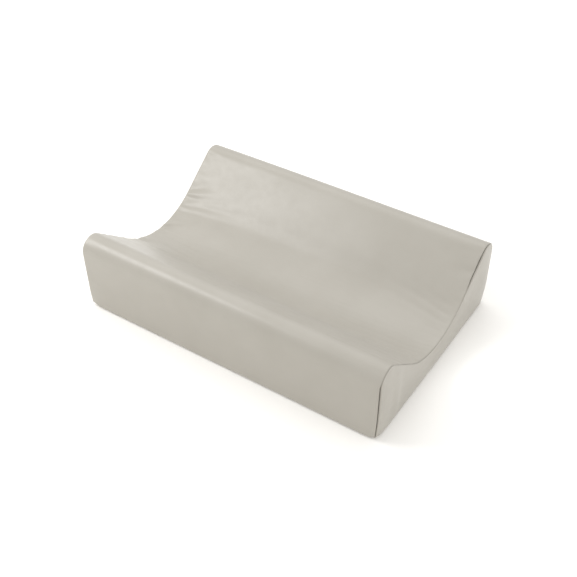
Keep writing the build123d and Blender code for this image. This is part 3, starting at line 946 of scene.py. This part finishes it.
# %% [markdown]
# ## A row of stitches
# Each stitch is a small bead drawn out along the line, which is how thread under tension looks from
# outside. A bevelled curve through the cloth would be truer, but its far side is never seen.
# %% A tree for rows of stitches
def stitch_tree():
    """Stitches along a mesh's edges: pitch, length and thickness in metres, tilt in radians."""
    tree = bpy.data.node_groups.new("stitches", "GeometryNodeTree")
    add_socket(tree, "Line", "NodeSocketGeometry", None)
    add_socket(tree, "Pitch", "NodeSocketFloat", 3.4 * MM)
    add_socket(tree, "Length", "NodeSocketFloat", 2.6 * MM)
    add_socket(tree, "Thickness", "NodeSocketFloat", 0.5 * MM)
    add_socket(tree, "Tilt", "NodeSocketFloat", 0.06)
    add_socket(tree, "Seed", "NodeSocketInt", 1)
    add_socket(tree, "Finish", "NodeSocketMaterial", None)
    tree.interface.new_socket("Stitches", in_out="OUTPUT", socket_type="NodeSocketGeometry")
    given = add_node(tree, "NodeGroupInput")
    result = add_node(tree, "NodeGroupOutput")
    curve = add_node(tree, "GeometryNodeMeshToCurve")
    cut = add_node(tree, "GeometryNodeResampleCurve", mode="LENGTH")
    stand = add_node(tree, "GeometryNodeInstanceOnPoints")
    bead = add_node(tree, "GeometryNodeMeshUVSphere")
    bead.inputs["Segments"].default_value = 8
    bead.inputs["Rings"].default_value = 6
    bead.inputs["Radius"].default_value = 0.5
    size = add_node(tree, "ShaderNodeCombineXYZ")
    tangent = add_node(tree, "GeometryNodeInputTangent")
    align = add_node(tree, "FunctionNodeAlignRotationToVector", axis="Z")
    tilt = add_node(tree, "FunctionNodeRandomValue", data_type="FLOAT_VECTOR")
    least = add_node(tree, "ShaderNodeVectorMath", operation="SCALE")
    least.inputs["Scale"].default_value = -1
    spread_out = add_node(tree, "ShaderNodeCombineXYZ")
    turn = add_node(tree, "FunctionNodeRotateRotation", rotation_space="LOCAL")
    real = add_node(tree, "GeometryNodeRealizeInstances")
    paint = add_node(tree, "GeometryNodeSetMaterial")
    smooth = add_node(tree, "GeometryNodeSetShadeSmooth")
    link = tree.links.new
    link(given.outputs["Line"], curve.inputs["Mesh"])
    link(curve.outputs[0], cut.inputs["Curve"])
    link(given.outputs["Pitch"], cut.inputs["Length"])
    link(cut.outputs[0], stand.inputs["Points"])
    link(bead.outputs["Mesh"], smooth.inputs[0])
    link(smooth.outputs[0], stand.inputs["Instance"])
    link(given.outputs["Thickness"], size.inputs["X"])
    link(given.outputs["Thickness"], size.inputs["Y"])
    link(given.outputs["Length"], size.inputs["Z"])
    link(size.outputs[0], stand.inputs["Scale"])
    link(tangent.outputs[0], align.inputs["Vector"])
    for axis in ("X", "Y"):
        link(given.outputs["Tilt"], spread_out.inputs[axis])
    link(spread_out.outputs[0], least.inputs[0])
    link(least.outputs[0], tilt.inputs["Min"])
    link(spread_out.outputs[0], tilt.inputs["Max"])
    link(given.outputs["Seed"], tilt.inputs["Seed"])
    link(align.outputs[0], turn.inputs["Rotation"])
    link(tilt.outputs["Value"], turn.inputs["Rotate By"])
    link(turn.outputs[0], stand.inputs["Rotation"])
    link(stand.outputs[0], real.inputs[0])
    link(real.outputs[0], paint.inputs["Geometry"])
    link(given.outputs["Finish"], paint.inputs["Material"])
    link(paint.outputs[0], result.inputs[0])
    return tree


def grow(name, line, tree, finish, **values):
    """A piece grown by a tree along lines of points."""
    points = np.concatenate(line)
    edges, start = [], 0
    for part in line:
        edges += [(start + i, start + i + 1) for i in range(len(part) - 1)]
        start += len(part)
    mesh = bpy.data.meshes.new(name)
    mesh.from_pydata(points.tolist(), edges, [])
    piece = bpy.data.objects.new(name, mesh)
    bpy.context.scene.collection.objects.link(piece)
    grower = piece.modifiers.new("grow", "NODES")
    grower.node_group = tree
    wanted = {"Finish": finish, **{key.capitalize(): value for key, value in values.items()}}
    for socket in tree.interface.items_tree:
        if socket.in_out == "INPUT" and socket.name in wanted:
            grower[socket.identifier] = wanted[socket.name]
    return make_plain(piece)


# %% [markdown]
# ## A wound coil
# The teeth of this zip are turns of one nylon filament, pressed oval so that each turn has a head.
# Separate teeth could be cloned along a line, but a spiral swept with a small ring is how the real
# one is made, and its turns join as they should.
# %% A tree for the zip's coil
def coil_tree():
    """One monofilament wound along X and pressed oval: pitch, turns, oval and wire in metres."""
    tree = bpy.data.node_groups.new("coil", "GeometryNodeTree")
    add_socket(tree, "Line", "NodeSocketGeometry", None)
    add_socket(tree, "Pitch", "NodeSocketFloat", 1.5 * MM)
    add_socket(tree, "Turns", "NodeSocketFloat", 100.0)
    add_socket(tree, "Width", "NodeSocketFloat", 1.4 * MM)
    add_socket(tree, "Depth", "NodeSocketFloat", 0.8 * MM)
    add_socket(tree, "Wire", "NodeSocketFloat", 0.3 * MM)
    add_socket(tree, "Finish", "NodeSocketMaterial", None)
    tree.interface.new_socket("Coil", in_out="OUTPUT", socket_type="NodeSocketGeometry")
    given = add_node(tree, "NodeGroupInput")
    result = add_node(tree, "NodeGroupOutput")
    wind = add_node(tree, "GeometryNodeCurveSpiral")
    wind.inputs["Resolution"].default_value = 11
    wind.inputs["Start Radius"].default_value = 1
    wind.inputs["End Radius"].default_value = 1
    height = add_node(tree, "ShaderNodeMath", operation="MULTIPLY")
    lay = add_node(tree, "GeometryNodeTransform")
    lay.inputs["Rotation"].default_value = (0, math.pi / 2, 0)
    size = add_node(tree, "ShaderNodeCombineXYZ")
    size.inputs["Z"].default_value = 1
    place = add_node(tree, "GeometryNodeInstanceOnPoints")
    real = add_node(tree, "GeometryNodeRealizeInstances")
    ring = add_node(tree, "GeometryNodeCurvePrimitiveCircle")
    ring.inputs["Resolution"].default_value = 5
    wire = add_node(tree, "GeometryNodeCurveToMesh")
    wire.inputs["Fill Caps"].default_value = True
    paint = add_node(tree, "GeometryNodeSetMaterial")
    link = tree.links.new
    link(given.outputs["Pitch"], height.inputs[0])
    link(given.outputs["Turns"], height.inputs[1])
    link(given.outputs["Turns"], wind.inputs["Rotations"])
    link(height.outputs[0], wind.inputs["Height"])
    link(given.outputs["Width"], size.inputs["X"])
    link(given.outputs["Depth"], size.inputs["Y"])
    link(size.outputs[0], lay.inputs["Scale"])
    link(wind.outputs[0], lay.inputs["Geometry"])
    link(given.outputs["Line"], place.inputs["Points"])
    link(given.outputs["Wire"], ring.inputs["Radius"])
    link(lay.outputs[0], wire.inputs["Curve"])
    link(ring.outputs[0], wire.inputs["Profile Curve"])
    link(wire.outputs[0], place.inputs["Instance"])
    link(place.outputs[0], real.inputs[0])
    link(real.outputs[0], paint.inputs["Geometry"])
    link(given.outputs["Finish"], paint.inputs["Material"])
    link(paint.outputs[0], result.inputs[0])
    return tree


stitches, coils = stitch_tree(), coil_tree()
print("tree nodes:", len(stitches.nodes), "and", len(coils.nodes))

# %% [markdown]
# ## Finishes
# Every finish is a node material, built from noise and waves in the piece's own space, so that
# nothing on it is one flat value: colour drifts a little, gloss drifts more, and a bump gives grain.
# %% Helpers for finishes
def finish_nodes(name, **constants):
    paint = bpy.data.materials.new(name)
    paint.use_nodes = True
    shader = paint.node_tree.nodes["Principled BSDF"]
    for socket, value in constants.items():
        shader.inputs[socket.replace("_", " ")].default_value = value
    place = add_node(paint.node_tree, "ShaderNodeTexCoord")
    return paint, paint.node_tree, shader, place.outputs["Object"]


def noise(tree, place, scale, detail=3.0, stretch=(1, 1, 1)):
    """A noise value, scale in features per metre."""
    fit = add_node(tree, "ShaderNodeMapping")
    fit.inputs["Scale"].default_value = stretch
    cloud = add_node(tree, "ShaderNodeTexNoise")
    cloud.inputs["Scale"].default_value = scale
    cloud.inputs["Detail"].default_value = detail
    tree.links.new(place, fit.inputs["Vector"])
    tree.links.new(fit.outputs[0], cloud.inputs["Vector"])
    return cloud.outputs["Fac"]


def between(tree, value, low, high, from_low=0.35, from_high=0.65):
    """A number that goes from low to high as value does."""
    ramp = add_node(tree, "ShaderNodeMapRange")
    tree.links.new(value, ramp.inputs["Value"])
    ramp.inputs["From Min"].default_value = from_low
    ramp.inputs["From Max"].default_value = from_high
    ramp.inputs["To Min"].default_value = low
    ramp.inputs["To Max"].default_value = high
    return ramp.outputs[0]


def two_colours(tree, value, first, second):
    mixed = add_node(tree, "ShaderNodeMix", data_type="RGBA")
    mixed.inputs["A"].default_value = (*first, 1)
    mixed.inputs["B"].default_value = (*second, 1)
    tree.links.new(value, mixed.inputs["Factor"])
    return mixed.outputs["Result"]


def bump(tree, value, height, strength=1.0, under=None):
    """A bump of a height in metres, over another bump if given."""
    lift = add_node(tree, "ShaderNodeBump")
    lift.inputs["Strength"].default_value = strength
    lift.inputs["Distance"].default_value = height
    tree.links.new(value, lift.inputs["Height"])
    if under is not None:
        tree.links.new(under, lift.inputs["Normal"])
    return lift.outputs["Normal"]


def rib(tree, place, along, pitch, distort=0.0):
    """Ribs square to an axis, one every pitch."""
    wave = add_node(tree, "ShaderNodeTexWave", bands_direction=along)
    wave.inputs["Scale"].default_value = math.pi / 10 / pitch
    wave.inputs["Distortion"].default_value = distort
    tree.links.new(place, wave.inputs["Vector"])
    return wave.outputs["Fac"]


# %% [markdown]
# ## The cover's finish
# Satin coated cloth is a thin smooth film over a fine knit. It has a broad soft gloss and hardly any
# grain until it is held close. Colour and gloss drift slowly, one bump gives the faint rumpling of
# handling and a second, far smaller, gives the knit under the film.
# %% Cover cloth
def cloth_finish():
    """A thin smooth film over a fine knit, rumpled a little by handling."""
    paint, tree, shader, place = finish_nodes(
        "satin_coated_cloth", Coat_Weight=0.12, Coat_Roughness=0.3, Specular_IOR_Level=0.5,
        Sheen_Weight=0.08, Sheen_Roughness=0.4,
    )
    link = tree.links.new
    drift = between(tree, noise(tree, place, 9), 0, 1)
    link(two_colours(tree, drift, (0.386, 0.363, 0.316), (0.406, 0.383, 0.336)), shader.inputs["Base Color"])
    link(between(tree, noise(tree, place, 60, 4), 0.36, 0.41), shader.inputs["Roughness"])
    crumple = bump(tree, noise(tree, place, 14, 2, (1, 1.6, 1.6)), 1.6 * MM, 0.3)
    grain = bump(tree, noise(tree, place, 1900, 2), 0.05 * MM, 0.35, crumple)
    link(grain, shader.inputs["Normal"])
    return paint


def foam_finish():
    """Open cells, yellowish, with a rough sawn face."""
    paint, tree, shader, place = finish_nodes("cut_foam", Roughness=0.95, Specular_IOR_Level=0.2)
    cell = add_node(tree, "ShaderNodeTexVoronoi")
    cell.inputs["Scale"].default_value = 900
    tree.links.new(place, cell.inputs["Vector"])
    colour = two_colours(tree, cell.outputs["Distance"], (0.80, 0.76, 0.62), (0.62, 0.57, 0.44))
    tree.links.new(colour, shader.inputs["Base Color"])
    tree.links.new(bump(tree, cell.outputs["Distance"], 0.4 * MM), shader.inputs["Normal"])
    return paint


def thread_finish():
    """Spun thread, twisted, so its ribs run on the slant."""
    paint, tree, shader, place = finish_nodes("spun_thread", Sheen_Weight=0.3, Sheen_Roughness=0.4)
    link = tree.links.new
    fleck = between(tree, noise(tree, place, 2500), 0, 1)
    link(two_colours(tree, fleck, (0.40, 0.38, 0.33), (0.52, 0.50, 0.44)), shader.inputs["Base Color"])
    link(between(tree, noise(tree, place, 700), 0.45, 0.7), shader.inputs["Roughness"])
    twist = rib(tree, place, "DIAGONAL", 0.3 * MM)
    link(bump(tree, twist, 0.06 * MM, 0.8), shader.inputs["Normal"])
    return paint


def woven_finish(name, first, second, warp, weft, rough):
    """Woven ribbon: ribs both ways, with a slow drift of colour."""
    paint, tree, shader, place = finish_nodes(name, Sheen_Weight=0.15, Sheen_Roughness=0.5)
    link = tree.links.new
    fibre = between(tree, noise(tree, place, 600, 3, (1, 1, 6)), 0, 1)
    link(two_colours(tree, fibre, first, second), shader.inputs["Base Color"])
    link(between(tree, noise(tree, place, 250), *rough), shader.inputs["Roughness"])
    across = bump(tree, rib(tree, place, "X", warp, 0.4), 0.10 * MM, 0.7)
    link(bump(tree, rib(tree, place, "Z", weft, 0.4), 0.08 * MM, 0.6, across), shader.inputs["Normal"])
    return paint


def coil_finish():
    """Nylon filament, a little clouded, with light going a millimetre in."""
    constants = {"Subsurface_Weight": 0.1, "Subsurface_Radius": (MM, MM, MM)}
    paint, tree, shader, place = finish_nodes("nylon_coil", **constants)
    link = tree.links.new
    cloud = between(tree, noise(tree, place, 160), 0, 1)
    link(two_colours(tree, cloud, (0.44, 0.42, 0.37), (0.52, 0.50, 0.45)), shader.inputs["Base Color"])
    link(between(tree, noise(tree, place, 900), 0.25, 0.4), shader.inputs["Roughness"])
    link(bump(tree, noise(tree, place, 3000), 0.02 * MM, 0.5), shader.inputs["Normal"])
    return paint


def metal_finish():
    """Zinc casting under a sprayed grey enamel, worn a little glossier in patches."""
    constants = {"Metallic": 0.25, "Coat_Weight": 0.4, "Coat_Roughness": 0.15}
    paint, tree, shader, place = finish_nodes("enamelled_zinc", **constants)
    link = tree.links.new
    cloud = between(tree, noise(tree, place, 400), 0, 1)
    link(two_colours(tree, cloud, (0.40, 0.385, 0.345), (0.46, 0.445, 0.40)), shader.inputs["Base Color"])
    link(between(tree, noise(tree, place, 900, 4), 0.28, 0.42), shader.inputs["Roughness"])
    link(bump(tree, noise(tree, place, 1800), 0.03 * MM, 0.5), shader.inputs["Normal"])
    return paint


TAPE_COLOURS = (0.43, 0.41, 0.36), (0.50, 0.48, 0.43)
RIBBON_COLOURS = (0.72, 0.71, 0.68), (0.80, 0.79, 0.76)
cloth_paint, foam_paint, thread_paint = cloth_finish(), foam_finish(), thread_finish()
tape_paint = woven_finish("woven_tape", *TAPE_COLOURS, 0.55 * MM, 0.4 * MM, (0.7, 0.85))
label_paint = woven_finish("satin_ribbon", *RIBBON_COLOURS, 0.35 * MM, 0.25 * MM, (0.3, 0.42))
coil_paint, metal_paint = coil_finish(), metal_finish()
print("finishes:", [paint.name for paint in bpy.data.materials])

# %% [markdown]
# ## The zip
# A coil zip is a nylon monofilament wound flat and sewn along a woven tape. The two windings are
# half a pitch apart, so that their heads sit between each other. The slider, its pull and the end
# stops are castings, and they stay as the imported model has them, because the slider has to run true.
# %% Zip tapes, coils and topstitches
ZIP_MIDDLE = (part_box("zip_coil_upper")[0].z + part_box("zip_coil_lower")[1].z) / 2
COIL_PITCH = 1.5 * MM
COIL_WIRE = 0.31 * MM
HEADS_PAST_MIDDLE = 0.25 * MM
TAPE_END = 8.5 * MM
THREAD_LIFT = 0.12 * MM


def box_of(node):
    low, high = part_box(node)
    return np.array(low), np.array(high)


def add_tape(node):
    """A plain woven zip tape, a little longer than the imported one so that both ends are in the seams."""
    low, high = box_of(node)
    x = np.linspace(low[0] - TAPE_END, high[0] + TAPE_END, 140)
    z = np.linspace(low[2], high[2], 13)
    points = np.zeros((len(z), len(x), 3))
    points[..., 0], points[..., 2] = x, z[:, None]
    points[..., 1] = high[1]
    quads = grid_quads(len(z), len(x))[:, ::-1]
    return thicken(new_piece(node + "_weave", points.reshape(-1, 3), quads), high[1] - low[1])


def add_coil(node, outwards, shift):
    """One winding; outwards is 1 above the zip's middle line and -1 below it."""
    low, high = box_of(node)
    turns = round((high[0] - low[0]) / COIL_PITCH) - 1
    far = high[2] if outwards > 0 else low[2]
    near = ZIP_MIDDLE - outwards * HEADS_PAST_MIDDLE
    start = np.array([low[0] + (0.4 + shift) * COIL_PITCH, (low[1] + high[1]) / 2, (far + near) / 2])
    width, depth = abs(far - near) / 2 - COIL_WIRE, (high[1] - low[1]) / 2 - COIL_WIRE
    sizes = {"turns": float(turns), "width": float(width), "depth": float(depth)}
    return grow(node + "_wound", [start[None]], coils, coil_paint, pitch=COIL_PITCH, wire=COIL_WIRE, **sizes)


def topstitch_row(name, height, seed):
    """A row of stitches lying in its groove on the back wall, at a height."""
    x = PANEL_X[np.abs(PANEL_X) < HALF_LENGTH - 11 * MM]
    line = wrap_surface(np.array([GIRTH - height]), x)[0]
    line[:, 1] += THREAD_LIFT - GROOVE
    return grow(name, [line], stitches, thread_paint, seed=seed)


tapes = [add_tape(node) for node in ("zip_tape_upper", "zip_tape_lower")]
windings = [add_coil("zip_coil_upper", 1, 0.0), add_coil("zip_coil_lower", -1, 0.5)]
rows = [
    topstitch_row("topstitch_upper_row", HEM_BOTTOM + TOPSTITCH_FROM_HEM, 3),
    topstitch_row("topstitch_lower_row", HEM_TOP - TOPSTITCH_FROM_HEM, 4),
]
print("coil quads:", [len(winding.data.polygons) for winding in windings])
print("row quads:", [len(row.data.polygons) for row in rows])

# %% [markdown]
# ## Seam threads
# A lockstitch holds each turned seam at the bottom of its slit. Only flecks of it are ever seen, but
# it is what the cover hangs together by.
# %% Stitches in the seams
SEAM_START = 14 * MM
THREAD_DEPTH = 0.3 * MM
BASE_SEAM_INSET = 5.5 * MM
BASE_SEAM_HEIGHT = 3.2 * MM
BASE_SEAM_START = 12 * MM


def end_seam_line(side):
    """The bottom of an end seam's slit."""
    distances = np.arange(SEAM_START, GIRTH - SEAM_START, 4 * MM)
    line, normal = section(distances)
    along, off = lip(np.zeros(len(distances)), seam_strain(distances, side))
    points = np.zeros((len(distances), 3))
    points[:, 0] = side * (HALF_LENGTH + along - THREAD_DEPTH)
    points[:, 1:] = line + normal * (off - THREAD_DEPTH)[:, None]
    return crest_lean(points)


def base_seam_lines():
    """Four straight runs, one under each wall."""
    x, y, z = HALF_LENGTH - BASE_SEAM_INSET, HALF_WIDTH - BASE_SEAM_INSET, BASE_SEAM_HEIGHT
    x_end, y_end = x - BASE_SEAM_START, y - BASE_SEAM_START
    long_runs = [np.array([(-x_end, side * y, z), (x_end, side * y, z)]) for side in (-1, 1)]
    short_runs = [np.array([(side * x, -y_end, z), (side * x, y_end, z)]) for side in (-1, 1)]
    return long_runs + short_runs


seams = [
    grow("end_seam_stitches_left", [end_seam_line(-1)], stitches, thread_paint, seed=5),
    grow("end_seam_stitches_right", [end_seam_line(1)], stitches, thread_paint, seed=6),
    grow("base_seam_stitches", base_seam_lines(), stitches, thread_paint, seed=7),
]
print("seam thread quads:", [len(seam.data.polygons) for seam in seams])

# %% [markdown]
# ## The care label
# A strip of satin ribbon, folded once and caught in the corner seam. It is left blank.
# %% Label
LABEL_GAP = 0.5 * MM
LABEL_CURL = 2.5 * MM
LABEL_START = 4 * MM
LABEL_TAIL = 4 * MM
RIBBON = 0.25 * MM


def add_label():
    """The folded ribbon: its tail dives into the seam, and its free end stands off the wall a little."""
    low, high = box_of("care_label")
    start = LABEL_START - HALF_LENGTH
    x = np.linspace(start, high[0], 24)
    z = np.linspace(low[2], high[2], 20)
    wall = wrap_surface(GIRTH - z, x)
    share = (x - start) / (x[-1] - start)
    lift = LABEL_CURL * share**2 * (0.7 + 0.3 * np.cos(3 * (z[:, None] - z[0]) / (z[-1] - z[0])))
    under = wall.copy()
    under[..., 0] = x
    tail = np.clip(1 - (x - start) / LABEL_TAIL, 0, 1)
    under[..., 1] = wall[..., 1].max(1)[:, None] + 1.2 * RIBBON + lift - LABEL_TAIL * tail**2
    turn = np.linspace(-math.pi / 2, math.pi / 2, 7)[1:-1]
    bend = np.repeat(under[:, -1:], len(turn), 1)
    bend[..., 0] += LABEL_GAP / 2 * np.cos(turn) * 1.5
    bend[..., 1] += LABEL_GAP / 2 * (1 + np.sin(turn))
    over = under[:, ::-1].copy()
    over[..., 1] += LABEL_GAP
    points = np.concatenate([under, bend, over], 1)
    ribbon = new_piece("care_label_ribbon", points.reshape(-1, 3), grid_quads(*points.shape[:2]))
    return thicken(ribbon, RIBBON)


label = add_label()
print("label quads:", len(label.data.polygons))

# %% [markdown]
# ## What each piece is and rides on
# Only the slider and its pull move. Everything sewn rides on the pad.
# %% Finishes and bodies
def hand_over(pieces, nodes, paint):
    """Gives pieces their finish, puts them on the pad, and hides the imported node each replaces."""
    for piece, node in zip(pieces, nodes, strict=True):
        piece.data.materials.clear()
        piece.data.materials.append(paint)
        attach(piece, "pad")
        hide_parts(node)


panels = [wrap, strip, left_end, right_end, base]
panel_nodes = ("cover_wrap", "rear_strip", "end_panel_left", "end_panel_right", "base_panel")
seam_nodes = ("end_seam_thread_left", "end_seam_thread_right", "base_seam_thread")
hand_over(panels, panel_nodes, cloth_paint)
hand_over([foam], ["foam_core"], foam_paint)
hand_over(tapes, ("zip_tape_upper", "zip_tape_lower"), tape_paint)
hand_over(windings, ("zip_coil_upper", "zip_coil_lower"), coil_paint)
hand_over(rows, ("topstitch_upper", "topstitch_lower"), thread_paint)
hand_over(seams, seam_nodes, thread_paint)
hand_over([label], ["care_label"], label_paint)
for node in ("zip_slider", "zip_pull", "zip_bottom_stop", "zip_top_stops"):
    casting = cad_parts[node]
    casting.data.materials.clear()
    casting.data.materials.append(metal_paint)
print(len(panels), "panels handed over, and the castings enamelled")

# %% [markdown]
# ## The ends' outline
# Each panel is a sheet of cloth cut to a flat size: the wrap's from its girth, and the ends' from their
# outlines, each with its seam allowances. Here only the ends' outline is sampled, from the section.
# %% The ends' outline
end_line, _ = section(np.linspace(CREST_Z, CREST_Z + TOP_ARC, 200))

# %% [markdown]
# The soft pieces may stand a little proud of the imported model, but the pad keeps its size.
# %% Bring the scene up to date
bpy.context.view_layer.update()
